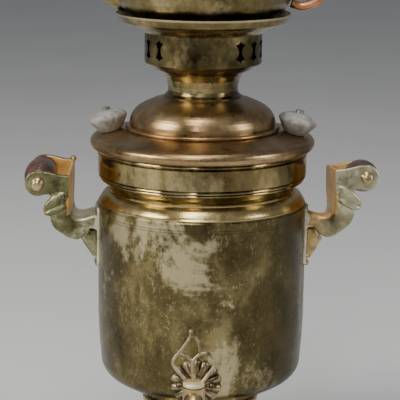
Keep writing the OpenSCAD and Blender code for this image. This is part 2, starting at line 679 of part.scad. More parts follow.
// ---- Tap ----
ROSETTE_RIVET_R = 3.2;
rosette_rivet_up = 4.9;          // height of the rivet heads' foot over the body
rosette_rivet_x = rosette_r * 0.62;
module rosette() {
    face = body_r + 1;
    petal_r = rosette_r * sin(180 / petal_n) * 0.82;
    tip = rosette_r - petal_r;
    color("#8a7f4c") difference() {
        translate([0, 0, tap_z]) facing_front() union() {
            translate([0, 0, body_r - 16]) cylinder(r = rosette_r - 3, h = 17.6);
            translate([0, 0, face + 0.6]) cylinder(r1 = 15, r2 = 12.5, h = 3);
            for (i = [0 : petal_n - 1]) rotate((i + 0.5) * 360 / petal_n) translate([0, 0, face - 1]) {
                translate([8, 0, 0]) rotate([0, 90, 0]) cylinder(r1 = 2, r2 = petal_r, h = tip - 8);
                translate([tip, 0, 0]) sphere(petal_r, $fn = 48);
                translate([tip, 0, -14]) cylinder(r = petal_r, h = 14);
            }
        }
        body_space();
        tap_hole(SHANK_FOOT_R);
        rosette_rivet_holes();
    }
}
SHANK_FOOT_R = 10;
STUB_R = 7.4;
module rosette_rivet_holes() {
    for (x = SIDES) translate([x * rosette_rivet_x, 0, tap_z]) facing_front()
        cylinder(r = 1.5, h = body_r + 20);
}
module rosette_rivets() {
    color("#8a7f4c") for (x = SIDES) translate([x * rosette_rivet_x, 0, tap_z]) facing_front() {
        translate([0, 0, body_r - 6]) cylinder(r = 1.5, h = 6 + rosette_rivet_up);
        translate([0, 0, body_r + rosette_rivet_up])
            turned(concat([[0, 0]], oval([0, 0], ROSETTE_RIVET_R, 2.6, 0, 90, 6)));
    }
}
module tap_body() {
    z0 = tap_z - barrel_down;
    barrel_h = barrel_up + barrel_down;
    bend_y = -tap_reach - 6;
    shank_from = body_r - side_taper * 0.4;
    color("#a8935a") difference() {
        union() {
            translate([0, 0, tap_z]) facing_front() {
                translate([0, 0, foot_of_side_r - 8]) cylinder(r = STUB_R, h = 12);
                translate([0, 0, shank_from]) cylinder(r = SHANK_FOOT_R, h = body_r + 5 - shank_from);
                translate([0, 0, body_r + 5]) cylinder(r1 = SHANK_FOOT_R, r2 = 8, h = 6);
                translate([0, 0, body_r + 11]) cylinder(r = 8, h = tap_reach - body_r - 11);
                translate([0, 0, tap_reach]) cylinder(r = spout_r, h = 6);
            }
            translate([0, -tap_reach, z0]) cylinder(r1 = barrel_r - 1.2, r2 = barrel_r, h = barrel_h);
            translate([0, bend_y, tap_z - bend_r]) rotate([0, -90, 0]) rotate([0, 0, -90])
                rotate_extrude(angle = 90) translate([bend_r, 0]) circle(spout_r);
            translate([0, bend_y - bend_r, tap_z - bend_r - spout_drop]) {
                cylinder(r = spout_r, h = spout_drop);
                cylinder(r = spout_r + 1, h = 3);
            }
        }
        translate([0, 0, tap_z]) facing_front() cylinder(r = water_r, h = tap_reach + 6);
        translate([0, bend_y, tap_z - bend_r]) rotate([0, -90, 0]) rotate([0, 0, -90])
            rotate_extrude(angle = 90) translate([bend_r, 0]) circle(water_r);
        translate([0, bend_y - bend_r, tap_z - bend_r - spout_drop - 1])
            cylinder(r = water_r, h = spout_drop + 1);
        translate([0, -tap_reach, z0]) cylinder(r1 = plug_foot_r, r2 = plug_top_r, h = barrel_h);
    }
}
function key_at(y) = [0, -tap_reach, y];
module key_openwork() {
    lobe_r = key_h * 0.19;
    lobe = [lobe_r, key_h * 0.43];
    in_r = lobe_r - key_bar;
    arch_r = key_h * 0.5;
    arch_w = key_h * 0.22;
    arch_y = key_h * 0.57;
    difference() {
        union() {
            for (s = SIDES) {
                translate([s * lobe.x, lobe.y]) circle(lobe_r);
                polygon([[0, 0], [s * (lobe.x + lobe_r * 0.7), lobe.y - lobe_r * 0.71], [0, lobe.y]]);
            }
            intersection() {
                translate([arch_r - arch_w, arch_y]) circle(arch_r);
                translate([arch_w - arch_r, arch_y]) circle(arch_r);
                translate([-arch_w, arch_y - 4]) square([2 * arch_w, key_h]);
            }
        }
        for (s = SIDES) {
            translate([s * lobe.x, lobe.y]) circle(in_r);
            polygon([[s * key_bar * 0.6, key_bar * 1.6], [s * (lobe.x + in_r * 0.7), lobe.y - in_r * 0.71],
                     [s * key_bar * 0.6, lobe.y - lobe_r * 0.5]]);
        }
        intersection() {
            translate([arch_r - arch_w, arch_y]) circle(arch_r - key_bar);
            translate([arch_w - arch_r, arch_y]) circle(arch_r - key_bar);
            translate([-arch_w, lobe.y + lobe_r * 0.62]) square([2 * arch_w, key_h]);
        }
    }
}
KEY_STUD_R = 2.5;
KEY_STUD_L = 8;
module tap_key() {
    z0 = tap_z - barrel_down;
    barrel_h = barrel_up + barrel_down;
    color("#b29c5e") difference() {
        union() {
            translate(key_at(z0))
                cylinder(r1 = plug_foot_r - plug_clear, r2 = plug_top_r - plug_clear, h = barrel_h);
            translate(key_at(z_key - SEAT_GAP)) cylinder(r = plug_top_r - plug_clear, h = SEAT_GAP);
            translate(key_at(z_key)) cylinder(r = barrel_r - 1, h = KEY_FLANGE_T);
            translate(key_at(z0 - KEY_STUD_L)) cylinder(r = KEY_STUD_R, h = KEY_STUD_L);
            translate(key_at(z_key + KEY_FLANGE_T - 0.6)) rotate([90, 0, 0])
                translate([0, 0, -1.9]) linear_extrude(3.8) key_openwork();
            translate(key_at(z_key + KEY_FLANGE_T + key_h)) sphere(2.4, $fn = 32);
        }
        translate(key_at(tap_z)) rotate([0, 90, 0]) cylinder(r = water_r, h = 30, center = true);
    }
}
module tap_washer() {
    color("#a8935a") translate(key_at(tap_z - barrel_down - SEAT_GAP - 1.6)) difference() {
        cylinder(r = barrel_r - 2.5, h = 1.6);
        translate([0, 0, -1]) cylinder(r = KEY_STUD_R, h = 4);
    }
}
module tap_nut() {
    color("#a8935a") translate(key_at(tap_z - barrel_down - SEAT_GAP - 1.6 - 4)) difference() {
        cylinder(r = 5.2, h = 4, $fn = 6);
        translate([0, 0, -1]) cylinder(r = KEY_STUD_R, h = 6);
    }
}

// ---- Teapot ----
z_pot = z_floor;
z_pot_mouth = z_pot + pot_h;
function pot_path() =
    let (belly = [pot_r - 34, z_pot + pot_h * 0.48], low = [pot_foot_r, z_pot + 5])
    concat(
        [low, [pot_foot_r + 8, z_pot + 6.5]],
        [for (a = [-68 : 13.6 : 0]) belly + [34 * cos(a), pot_h * 0.4 * sin(a)]],
        [for (a = [12 : 12 : 60]) belly + [34 * cos(a), pot_h * 0.4 * sin(a)]],
        [[pot_mouth_r + 3, z_pot_mouth - 4], [pot_mouth_r, z_pot_mouth - 3], [pot_mouth_r, z_pot_mouth]]);
pot_spout_way = curved([
    [pot_r - 16, z_pot + pot_h * 0.31], [pot_r + 2, z_pot + pot_h * 0.38], [pot_r + 20, z_pot + pot_h * 0.49],
    [pot_r + 36, z_pot + pot_h * 0.63], [pot_r + 48, z_pot + pot_h * 0.8], [pot_r + 60, z_pot + pot_h * 0.94],
    [pot_r + 66, z_pot + pot_h * 0.98]], 3);
SPOUT_STEPS = len(pot_spout_way) - 1;
function spout_radii(less) =
    [for (i = [0 : SPOUT_STEPS]) pot_tip_r + 9.5 * pow(1 - i / SPOUT_STEPS, 1.3) - less];
// The spout's bore runs a little past both of its ends
function bore_way() = [for (i = [0 : SPOUT_STEPS])
    pot_spout_way[i] + (i == 0 ? [-2, -1] : i == SPOUT_STEPS ? [3, 1] : [0, 0])];
module teapot_shell() {
    color("#857a48") difference() {
        spun(pot_path(), pot_t);
        mirror([1, 0, 0]) translate([pot_r - 34, 0, z_pot + pot_h * 0.31]) rotate([0, 70, 0])
            cylinder(r = pot_tip_r + 4, h = 44);
    }
}
module teapot_foot() {
    color("#857a48") rotate_extrude() polygon([
        [pot_foot_r - 4, z_pot], [pot_foot_r + 1.5, z_pot], [pot_foot_r + 1.5, z_pot + 2],
        [pot_foot_r, z_pot + 3], [pot_foot_r, z_pot + 5], [pot_foot_r - 4, z_pot + 5]]);
}
module teapot_base() {
    color("#857a48") translate([0, 0, z_pot + 5]) cylinder(r = pot_foot_r - 0.2, h = pot_t);
}
module teapot_spout() {
    color("#7c7855") mirror([1, 0, 0]) difference() {
        bar(pot_spout_way, spout_radii(0));
        bar(bore_way(), spout_radii(1.8));
        rotate([0, 0, 180]) pot_space();
    }
}
// The space inside the teapot's outer skin
module pot_space() {
    turned(concat([[0, z_pot + 5]], pot_path(), [[0, z_pot_mouth]]));
}
pot_handle_way = curved([
    [pot_r - 8, z_pot + pot_h * 0.26], [pot_r + 10, z_pot + pot_h * 0.24], [pot_r + 28, z_pot + pot_h * 0.33],
    [pot_r + 38, z_pot + pot_h * 0.5], [pot_r + 38, z_pot + pot_h * 0.7], [pot_r + 28, z_pot + pot_h * 0.87],
    [pot_r + 10, z_pot + pot_h * 0.93], [pot_r - 16, z_pot + pot_h * 0.86]], 3);
module teapot_handle() {
    color("#a2663a") difference() {
        bar(pot_handle_way, [for (p = pot_handle_way) pot_bar_r]);
        pot_space();
    }
}
function pot_lid_path() = concat(
    [[pot_mouth_r - pot_t - 1, z_pot_mouth - 6], [pot_mouth_r - pot_t - 1, z_pot_mouth],
     [pot_mouth_r + 1.5, z_pot_mouth], [pot_mouth_r + 1.5, z_pot_mouth + 1.6]],
    [for (a = [12 : 12 : 72]) [(pot_mouth_r + 0.5) * cos(a), z_pot_mouth + 1.6 + 15 * sin(a)]],
    [[7, z_pot_mouth + 16.6], [2.2, z_pot_mouth + 16.6]]);
module teapot_lid() {
    color("#857a48") spun(pot_lid_path(), pot_t);
}
module teapot_knob() {
    z = z_pot_mouth + 16.6;
    color("#3d2018") turned(concat(
        [[0, z - 4], [2.1, z - 4], [2.1, z], [6, z], [4.6, z + 2], [4.2, z + 5]],
        oval([0, z + 13], 10, 7, -50, 90, 10)));
}

base_feet();
base_plinth();
ash_ring();
air_skirt();
seat_ring();
body_shell();
shoulder_ring();
collar();
fire_tube();
fire_grate();
lid_shell();
lid_knob_left();
lid_knob_right();
lid_knob_bolts();
lid_knob_nuts();
steam_vent();
vent_cap();
crown_neck();
crown_gallery();
crown_dish();
handle_left_stem();
handle_left_fork();
handle_left_grip();
handle_left_rod();
handle_left_nut();
handle_right_stem();
handle_right_fork();
handle_right_grip();
handle_right_rod();
handle_right_nut();
handle_rivets();
rosette();
rosette_rivets();
tap_body();
tap_key();
tap_washer();
tap_nut();
teapot_shell();
teapot_foot();
teapot_base();
teapot_spout();
teapot_handle();
teapot_lid();
teapot_knob();
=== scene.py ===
import math
import bmesh
import bpy
from mathutils import Matrix, Vector, noise


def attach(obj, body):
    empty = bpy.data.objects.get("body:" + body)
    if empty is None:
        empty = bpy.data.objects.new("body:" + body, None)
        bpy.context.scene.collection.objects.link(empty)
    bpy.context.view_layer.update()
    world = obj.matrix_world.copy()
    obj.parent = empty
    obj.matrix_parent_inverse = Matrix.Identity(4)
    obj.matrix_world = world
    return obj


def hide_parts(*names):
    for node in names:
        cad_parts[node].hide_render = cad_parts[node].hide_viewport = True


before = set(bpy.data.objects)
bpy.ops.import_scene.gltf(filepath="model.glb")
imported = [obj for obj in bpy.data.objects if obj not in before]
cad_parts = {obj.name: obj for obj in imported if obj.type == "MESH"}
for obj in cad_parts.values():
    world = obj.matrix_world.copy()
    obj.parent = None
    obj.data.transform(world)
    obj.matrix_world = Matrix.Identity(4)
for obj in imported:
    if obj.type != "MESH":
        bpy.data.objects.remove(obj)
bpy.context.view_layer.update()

MM = 0.001
COLLECTION = bpy.context.scene.collection

# ---- Sizes that the solids have too, in millimetres ----
BODY_R, GRIP_U, GRIP_Z, PLATE_Z = 110.2, 170.0, 324.68, 262.68
HANDLE_HALF, CHEEK_T, STEM_HALF = 48.0, 8.0, 23.5
RIGHT_TURN = math.radians(-8)
HANDLE_YAW = Matrix.Rotation(math.radians(3.7), 4, "Z")
FLANGE_TURN = math.radians(14.337)
FLANGE_EDGE_R, FLANGE_EDGE_Z, KNOB_AT = 108.553, 368.576, 96
TAP_Y, TAP_Z = -152.0, 131.0
PETALS = 14
POT_R, POT_Z = 93.0, 480.78


def body_radius(z):
    """The jar's outside: a cone, a rounded bowl and two slight tapers up to the straight wall."""
    cone_top, bowl_z, bowl_r, taper_z = 109.63, 128.68, 22, 150.9
    if z < cone_top:
        return 57 + (z - 87) / math.tan(math.radians(30))
    if z < bowl_z:
        return 85.2 + math.sqrt(bowl_r ** 2 - (z - bowl_z) ** 2)
    if z < taper_z:
        return 107.2 + 1.8 * (z - bowl_z) / 22.2
    return min(BODY_R, 109 + 1.2 * (z - taper_z) / 24)


# ---- Camera, lights and floor ----
def camera():
    """The photograph's camera: its place round the axis, then its aim by pitch, yaw and roll."""
    distance, height, focal_px, image_px, sensor_mm = 1.6, 0.6535, 1544.1, 400, 36
    az, pitch, yaw, roll = math.radians(2.3), 0.2184, 0.00122, 0.0095
    spot = Vector((distance * math.sin(az), -distance * math.cos(az), height))
    face = az + yaw
    ahead = Vector((-math.sin(face) * math.cos(pitch), math.cos(face) * math.cos(pitch), -math.sin(pitch)))
    level_right = ahead.cross(Vector((0, 0, 1))).normalized()
    level_up = level_right.cross(ahead)
    right = level_right * math.cos(roll) + level_up * math.sin(roll)
    up = level_up * math.cos(roll) - level_right * math.sin(roll)
    data = bpy.data.cameras.new("camera")
    data.sensor_width = sensor_mm
    data.lens = focal_px / image_px * sensor_mm
    data.clip_end = 100
    cam = bpy.data.objects.new("camera", data)
    COLLECTION.objects.link(cam)
    cam.matrix_world = Matrix.Translation(spot) @ Matrix((right, up, -ahead)).transposed().to_4x4()
    bpy.context.scene.camera = cam


def area_light(name, spot, target, size, power, color=(1, 1, 1)):
    """A soft lamp at spot, facing target, size in metres."""
    data = bpy.data.lights.new(name, "AREA")
    data.shape = "RECTANGLE"
    data.size, data.size_y = size
    data.energy = power
    data.color = color
    lamp = bpy.data.objects.new(name, data)
    COLLECTION.objects.link(lamp)
    way = Vector(target) - Vector(spot)
    lamp.matrix_world = Matrix.Translation(spot) @ way.to_track_quat("-Z", "Y").to_matrix().to_4x4()


def studio():
    """Pale light all round, four soft lamps and a pale floor."""
    world = bpy.context.scene.world or bpy.data.worlds.new("world")
    bpy.context.scene.world = world
    world.use_nodes = True
    sky = world.node_tree.nodes["Background"]
    sky.inputs["Color"].default_value = (0.86, 0.88, 0.92, 1)
    sky.inputs["Strength"].default_value = 0.24
    middle = (0, 0, 0.3)
    area_light("key", (-2.1, -1.35, 1.5), middle, (1.0, 1.5), 62, (1, 0.97, 0.92))
    area_light("front", (-0.35, -2.7, 1.6), middle, (0.22, 1.3), 12, (1, 0.98, 0.95))
    area_light("fill", (2.1, -0.8, 1.1), middle, (0.5, 1.2), 20, (0.95, 0.97, 1))
    area_light("top", (-0.12, -0.5, 2.3), (0, 0, 0.4), (0.45, 2.2), 34)
    bm = bmesh.new()
    bmesh.ops.create_grid(bm, x_segments=2, y_segments=2, size=12)
    floor = mesh_object("floor", bm)
    paint = Mat("floor_paint")
    paint.color(paint.ramp(paint.noise(2.5, 3), [(0.3, (0.60, 0.60, 0.59)), (0.7, (0.64, 0.64, 0.63))]))
    paint.rough(0.75)
    floor.data.materials.append(paint.material)


def mesh_object(name, bm):
    mesh = bpy.data.meshes.new(name)
    bm.normal_update()
    bm.to_mesh(mesh)
    bm.free()
    obj = bpy.data.objects.new(name, mesh)
    COLLECTION.objects.link(obj)
    for poly in mesh.polygons:
        poly.use_smooth = True
    return obj


# ---- Materials ----
class Mat:
    """A node material on object coordinates."""

    def __init__(self, name):
        self.material = bpy.data.materials.new(name)
        self.material.use_nodes = True
        self.tree = self.material.node_tree
        self.tree.nodes.clear()
        self.bsdf = self.tree.nodes.new("ShaderNodeBsdfPrincipled")
        out = self.tree.nodes.new("ShaderNodeOutputMaterial")
        self.tree.links.new(self.bsdf.outputs[0], out.inputs[0])
        self.coord = self.tree.nodes.new("ShaderNodeTexCoord").outputs["Object"]

    def put(self, socket, value):
        """Link another node's output, or set a number or colour."""
        if isinstance(value, bpy.types.NodeSocket):
            self.tree.links.new(value, socket)
        elif isinstance(value, (tuple, list)) and len(value) == 3 and socket.type == "RGBA":
            socket.default_value = (*value, 1)
        else:
            socket.default_value = value

    def node(self, kind, *values, **settings):
        new = self.tree.nodes.new(kind)
        for key, value in settings.items():
            setattr(new, key, value)
        for key, value in values:
            self.put(new.inputs[key], value)
        return new

    def stretch(self, x, y, z):
        return self.node("ShaderNodeMapping", ("Vector", self.coord), ("Scale", (x, y, z))).outputs[0]

    def noise(self, scale, detail=4.0, rough=0.55, warp=0.0, vec=None):
        return self.node("ShaderNodeTexNoise", ("Vector", vec or self.coord), ("Scale", scale),
                         ("Detail", detail), ("Roughness", rough), ("Distortion", warp)).outputs[0]

    def ramp(self, fac, stops):
        new = self.node("ShaderNodeValToRGB", (0, fac))
        points = new.color_ramp.elements
        while len(points) < len(stops):
            points.new(0.5)
        for point, (spot, tint) in zip(points, stops):
            point.position = spot
            point.color = (*tint, 1) if isinstance(tint, (tuple, list)) else (tint, tint, tint, 1)
        return new.outputs[0]

    def mix(self, fac, a, b):
        """Blend two colours; the node's colour sockets are 6 and 7, and its colour result is 2."""
        new = self.node("ShaderNodeMix", data_type="RGBA")
        self.put(new.inputs[0], fac)
        self.put(new.inputs[6], a)
        self.put(new.inputs[7], b)
        return new.outputs[2]

    def math(self, op, a, b=0.0):
        return self.node("ShaderNodeMath", (0, a), (1, b), operation=op).outputs[0]

    def radius(self, a, b):
        """The distance from the point where both are 0."""
        return self.math("SQRT", self.math("ADD", self.math("MULTIPLY", a, a), self.math("MULTIPLY", b, b)))

    def span(self, value, low, high, to_low=0.0, to_high=1.0):
        """Carry low..high over to to_low..to_high, and stop there."""
        return self.node("ShaderNodeMapRange", ("Value", value), ("From Min", low), ("From Max", high),
                         ("To Min", to_low), ("To Max", to_high)).outputs[0]

    def axis(self, letter):
        return self.node("ShaderNodeSeparateXYZ", (0, self.coord)).outputs[letter]

    def color(self, value):
        self.put(self.bsdf.inputs["Base Color"], value)

    def rough(self, value):
        self.put(self.bsdf.inputs["Roughness"], value)

    def metal(self, value=1.0):
        self.put(self.bsdf.inputs["Metallic"], value)

    def bumps(self, *layers):
        normal = None
        for height, distance in layers:
            new = self.node("ShaderNodeBump", ("Height", height), ("Distance", distance), ("Strength", 1.0))
            if normal:
                self.tree.links.new(normal, new.inputs["Normal"])
            normal = new.outputs[0]
        self.tree.links.new(normal, self.bsdf.inputs["Normal"])


def brass(name, dark, mid, light, patch, patchy=0.45, size=1.0, rough=(0.28, 0.5), waves=0.0006,
          grain=0.00003, spots=0.3, metal=1.0, tall=1.0, glints=0.0, edge=(0.55, 0.64), touch=None):
    """Tarnished sheet brass: upright clouds of tarnish, paler rubbed patches, fine specks, uneven sheet."""
    m = Mat(name)
    drawn = m.stretch(1, 1, 1 / tall)
    cloud = m.noise(12 / size, 10, 0.62, 0.5, drawn)
    blotch = m.noise(34 / size, 7, 0.66, 0.3, drawn)
    fine = m.noise(150 / size, 6, 0.7)
    mottle = m.math("ADD", m.math("MULTIPLY", cloud, 0.58), m.math("MULTIPLY", blotch, 0.30))
    base = m.ramp(m.math("ADD", mottle, m.math("MULTIPLY", fine, 0.12)),
                  [(0.37, dark), (0.5, mid), (0.62, light)])
    rubbed = m.ramp(m.math("ADD", m.math("MULTIPLY", m.noise(9 / size, 9, 0.68, 0.8, drawn), 0.85),
                           m.math("MULTIPLY", fine, 0.15)), [(edge[0], 0.0), (edge[1], patchy)])
    tone = m.mix(rubbed, base, patch)
    specks = m.ramp(m.noise(700, 2, 0.6), [(0.30, spots), (0.40, 0.0)])
    tone = m.mix(specks, tone, tuple(c * 0.5 for c in dark))
    if glints:
        # Fine bright scuffs: real scratches, with their glints of light painted in as painted highlight.
        scuff_glints = m.ramp(m.noise(420, 4, 0.7, 0.0, drawn), [(0.58, 0.0), (0.66, glints)])
        tone = m.mix(m.math("MULTIPLY", scuff_glints, m.span(cloud, 0.42, 0.6, 0.25, 1.0)), tone, patch)
    m.color(touch(m, tone) if touch else tone)
    m.metal(metal)
    m.rough(m.span(m.math("ADD", blotch, m.math("MULTIPLY", fine, 0.3)), 0.45, 0.85, rough[0], rough[1]))
    m.bumps((m.noise(7 / size, 2, 0.5), waves), (m.noise(520, 3, 0.6), grain))
    return m


def right_shade_and_turned_lines(m, tone):
    """Painted shade darkening the body's right side, and a thin pair of turned lines near its top."""
    right = m.math("ADD", m.axis("X"), m.math("MULTIPLY", m.noise(16, 6, 0.65, 0.4), 0.07))
    # Painted shade: the body's right side darkened towards dark olive brown.
    tone = m.mix(m.span(right, 0.055, 0.125, 0.0, 0.6), tone, (0.055, 0.042, 0.018))
    upper, lower = (m.math("ABSOLUTE", m.math("SUBTRACT", m.axis("Z"), z)) for z in (0.2903, 0.2876))
    lines = m.span(m.math("MINIMUM", upper, lower), 0.00025, 0.0006, 0.55, 0.0)
    return m.mix(lines, tone, (0.05, 0.038, 0.018))


def yellow_root(m, tone):
    """The right casting turns to warm yellow brass where it meets the body."""
    near = m.math("ADD", m.axis("X"), m.math("MULTIPLY", m.noise(70, 5, 0.6), 0.022))
    yellow = m.ramp(m.noise(110, 5, 0.6), [(0.4, (0.30, 0.19, 0.07)), (0.6, (0.66, 0.46, 0.18))])
    return m.mix(m.span(near, 0.131, 0.149, 0.9, 0.0), tone, yellow)


def painted_rim_highlight(m, tone):
    """A painted highlight on the outer edge of the dish."""
    r = m.radius(m.axis("X"), m.axis("Y"))
    return m.mix(m.span(r, 0.0900, 0.0908, 0.0, 0.6), tone, (0.66, 0.56, 0.34))


def petals(m, tone):
    """Painted shade in the creases between the petals, a painted highlight on each crest and a bright rim.
    """
    x, z = m.axis("X"), m.math("SUBTRACT", m.axis("Z"), TAP_Z * MM)
    lobe = m.math("ABSOLUTE", m.math("SINE", m.math("MULTIPLY", m.math("ARCTAN2", z, x), PETALS / 2)))
    # Painted shade in the creases.
    tone = m.mix(m.span(lobe, 0.10, 0.42, 0.8, 0.0), tone, (0.03, 0.022, 0.01))
    # Painted highlight along each petal's crest.
    tone = m.mix(m.span(lobe, 0.93, 1.0, 0.0, 0.5), tone, (0.62, 0.52, 0.36))
    return m.mix(m.span(m.radius(x, z), 0.0246, 0.0264, 0.0, 0.4), tone, (0.6, 0.52, 0.36))


def wood(name, dark, light, across=26.0, along=(1, 0.07, 1), rough=(0.35, 0.6), coat=0.0, relief=1.0):
    """Wood with its grain drawn out along one axis, and dark pores."""
    m = Mat(name)
    vec = m.stretch(*along)
    rings = m.noise(across, 7, 0.6, 1.2, vec)
    pores = m.noise(across * 9, 3, 0.5, 0.0, vec)
    tone = m.mix(m.ramp(pores, [(0.32, 0.5), (0.44, 0.0)]), m.ramp(rings, [(0.35, dark), (0.66, light)]),
                 tuple(c * 0.4 for c in dark))
    m.color(tone)
    m.rough(m.span(rings, 0.3, 0.7, rough[0], rough[1]))
    m.bsdf.inputs["Coat Weight"].default_value = coat
    m.bsdf.inputs["Coat Roughness"].default_value = 0.25
    m.bumps((rings, 0.0006 * relief), (pores, 0.0003 * relief))
    return m


MATERIALS = {
    "body": brass("body_brass", (0.037, 0.029, 0.012), (0.125, 0.098, 0.041), (0.33, 0.268, 0.118),
                  (0.62, 0.545, 0.32), patchy=0.72, size=0.9, rough=(0.2, 0.42), tall=1.5,
                  glints=0.55, edge=(0.545, 0.60), touch=right_shade_and_turned_lines),
    "shoulder": brass("shoulder_brass", (0.29, 0.205, 0.08), (0.51, 0.38, 0.155), (0.67, 0.525, 0.25),
                      (0.69, 0.56, 0.30), 0.4, rough=(0.16, 0.32), spots=0.15),
    "collar": brass("collar_brass", (0.05, 0.035, 0.012), (0.205, 0.152, 0.062), (0.50, 0.40, 0.18),
                    (0.60, 0.50, 0.28), 0.42, 0.8, rough=(0.08, 0.24), spots=0.2, tall=2.0),
    "lid": brass("lid_brass", (0.17, 0.107, 0.05), (0.345, 0.228, 0.112), (0.51, 0.36, 0.185),
                 (0.58, 0.44, 0.245), 0.35, rough=(0.24, 0.38), spots=0.15),
    "crown": brass("crown_brass", (0.04, 0.029, 0.011), (0.155, 0.118, 0.05), (0.36, 0.285, 0.13),
                   (0.55, 0.45, 0.25), 0.5, 0.8, rough=(0.14, 0.34), tall=1.4, touch=painted_rim_highlight),
    "cast_left": brass("cast_brass_green", (0.065, 0.06, 0.025), (0.23, 0.22, 0.105), (0.50, 0.48, 0.275),
                       (0.76, 0.72, 0.50), 0.7, 0.4, rough=(0.28, 0.48), waves=0.0005, grain=0.0002,
                       spots=0.3),
    "cast_right": brass("cast_brass_pale", (0.19, 0.175, 0.09), (0.46, 0.43, 0.275), (0.71, 0.67, 0.47),
                        (0.84, 0.80, 0.62), 0.65, 0.4, rough=(0.3, 0.48), waves=0.0005, grain=0.0002,
                        spots=0.25, touch=yellow_root),
    # Pale rim brass: a painted highlight on the left web's top, and the plates' pale edges.
    "rim": brass("rim_brass_with_painted_highlight", (0.42, 0.38, 0.24), (0.64, 0.59, 0.40), (0.80, 0.75, 0.56),
                 (0.86, 0.82, 0.68), 0.4, 0.4, rough=(0.35, 0.5), waves=0.0001, spots=0.05, metal=0.8),
    "rosette": brass("rosette_brass", (0.06, 0.045, 0.022), (0.17, 0.13, 0.068), (0.36, 0.29, 0.17),
                     (0.55, 0.42, 0.3), 0.4, 0.4, rough=(0.24, 0.42), waves=0.0001, touch=petals),
    "key": brass("key_bronze", (0.11, 0.08, 0.042), (0.34, 0.275, 0.16), (0.62, 0.53, 0.35),
                 (0.7, 0.62, 0.44), 0.45, 0.3, rough=(0.24, 0.42), waves=0.0001),
    "tap": brass("tap_brass", (0.24, 0.17, 0.07), (0.46, 0.35, 0.17), (0.66, 0.54, 0.30),
                 (0.78, 0.68, 0.46), 0.4, 0.4, rough=(0.22, 0.4), waves=0.0002),
    "base": brass("base_brass", (0.08, 0.058, 0.026), (0.22, 0.165, 0.075), (0.38, 0.30, 0.14),
                  (0.48, 0.38, 0.2), 0.4, rough=(0.26, 0.44)),
    "pot": brass("pot_brass", (0.05, 0.038, 0.016), (0.165, 0.128, 0.054), (0.36, 0.285, 0.13),
                 (0.52, 0.43, 0.24), 0.5, rough=(0.2, 0.4), glints=0.3),
    "copper": brass("copper", (0.20, 0.08, 0.035), (0.42, 0.19, 0.09), (0.62, 0.32, 0.17),
                    (0.7, 0.42, 0.24), 0.3, 0.5, rough=(0.26, 0.4), waves=0.0002),
    # Gold for the handles: a painted reflection of warm light on their inner faces.
    "gold": brass("gold_painted_reflection", (0.48, 0.235, 0.055), (0.80, 0.47, 0.14), (0.92, 0.64, 0.26),
                  (0.95, 0.74, 0.38), 0.3, 0.5, rough=(0.4, 0.55), waves=0.0002, spots=0.1, metal=0.45),
    "flange": brass("rubbed_brass", (0.60, 0.49, 0.26), (0.82, 0.71, 0.43), (0.90, 0.81, 0.54),
                    (0.92, 0.86, 0.64), 0.3, 0.4, rough=(0.4, 0.55), waves=0.0001, spots=0.05, metal=0.6),
    "iron": brass("sooty_iron", (0.02, 0.02, 0.02), (0.05, 0.048, 0.045), (0.10, 0.09, 0.08),
                  (0.14, 0.11, 0.08), 0.3, rough=(0.55, 0.8), grain=0.0003, metal=0.6),
    "steel": brass("dull_steel", (0.10, 0.095, 0.085), (0.24, 0.23, 0.21), (0.4, 0.39, 0.36),
                   (0.36, 0.3, 0.22), 0.3, 0.4, rough=(0.4, 0.6), metal=0.9),
    "grip": wood("grip_wood", (0.03, 0.012, 0.007), (0.115, 0.045, 0.024), coat=0.4, rough=(0.3, 0.45)),
    "knob": wood("knob_wood", (0.17, 0.158, 0.142), (0.37, 0.35, 0.325), 90, (1, 1, 0.5),
                 rough=(0.75, 0.9), relief=0.35),
}
NODE_LOOKS = {
    "body_shell": "body", "shoulder_ring": "shoulder", "collar": "collar",
    "fire_tube": "base", "fire_grate": "iron",
    "lid_shell": "lid", "lid_knob_left": "knob", "lid_knob_right": "knob", "lid_knob_bolts": "steel",
    "lid_knob_nuts": "steel", "steam_vent": "shoulder", "vent_cap": "shoulder",
    "crown_neck": "crown", "crown_gallery": "crown", "crown_dish": "crown",
    "handle_rivets": "cast_left", "rosette": "rosette", "rosette_rivets": "rosette",
    "tap_body": "tap", "tap_key": "key", "tap_washer": "tap", "tap_nut": "tap",
    "teapot_shell": "pot", "teapot_foot": "pot", "teapot_base": "pot", "teapot_spout": "pot",
    "teapot_handle": "copper", "teapot_lid": "pot", "teapot_knob": "grip",
    "base_feet": "base", "base_plinth": "base", "ash_ring": "base", "air_skirt": "base",
    "seat_ring": "shoulder",
}
for side in ("left", "right"):
    for part in ("stem", "fork", "rod", "nut"):
        NODE_LOOKS[f"handle_{side}_{part}"] = f"cast_{side}"
    NODE_LOOKS[f"handle_{side}_grip"] = "grip"


# ---- Making meshes ----
def spline(points, per=8):
    """A smooth path through the points, per steps between neighbours."""
    pts = [Vector(p) for p in points]
    last = len(pts) - 1
    out = []
    for i in range(last):
        p1, p2 = pts[i], pts[i + 1]
        p0 = pts[i - 1] if i > 0 else p1 * 2 - p2
        p3 = pts[i + 2] if i + 1 < last else p2 * 2 - p1
        for k in range(per):
            t = k / per
            out.append(0.5 * (2 * p1 + (p2 - p0) * t + (2 * p0 - 5 * p1 + 4 * p2 - p3) * t * t
                              + (3 * p1 - p0 - 3 * p2 + p3) * t ** 3))
    out.append(pts[-1])
    return out


def add_band(bm, low, high):
    """Faces between two closed rows of vertices."""
    n = len(low)
    for k in range(n):
        bm.faces.new((low[k], low[(k + 1) % n], high[(k + 1) % n], high[k]))


def add_loft(bm, rings, closed=False):
    """A skin over rings of points, with its ends capped, or joined to each other if closed."""
    rows = [[bm.verts.new(p) for p in ring] for ring in rings]
    for low, high in zip(rows, rows[1:]):
        add_band(bm, low, high)
    if closed:
        add_band(bm, rows[-1], rows[0])
    else:
        bm.faces.new(rows[0][::-1])
        bm.faces.new(rows[-1])


def add_prism(bm, outline, place, t0, t1):
    """The outline in (u, z), drawn out from t0 to t1."""
    add_loft(bm, [[place(u, t, z) for u, z in outline] for t in (t0, t1)])


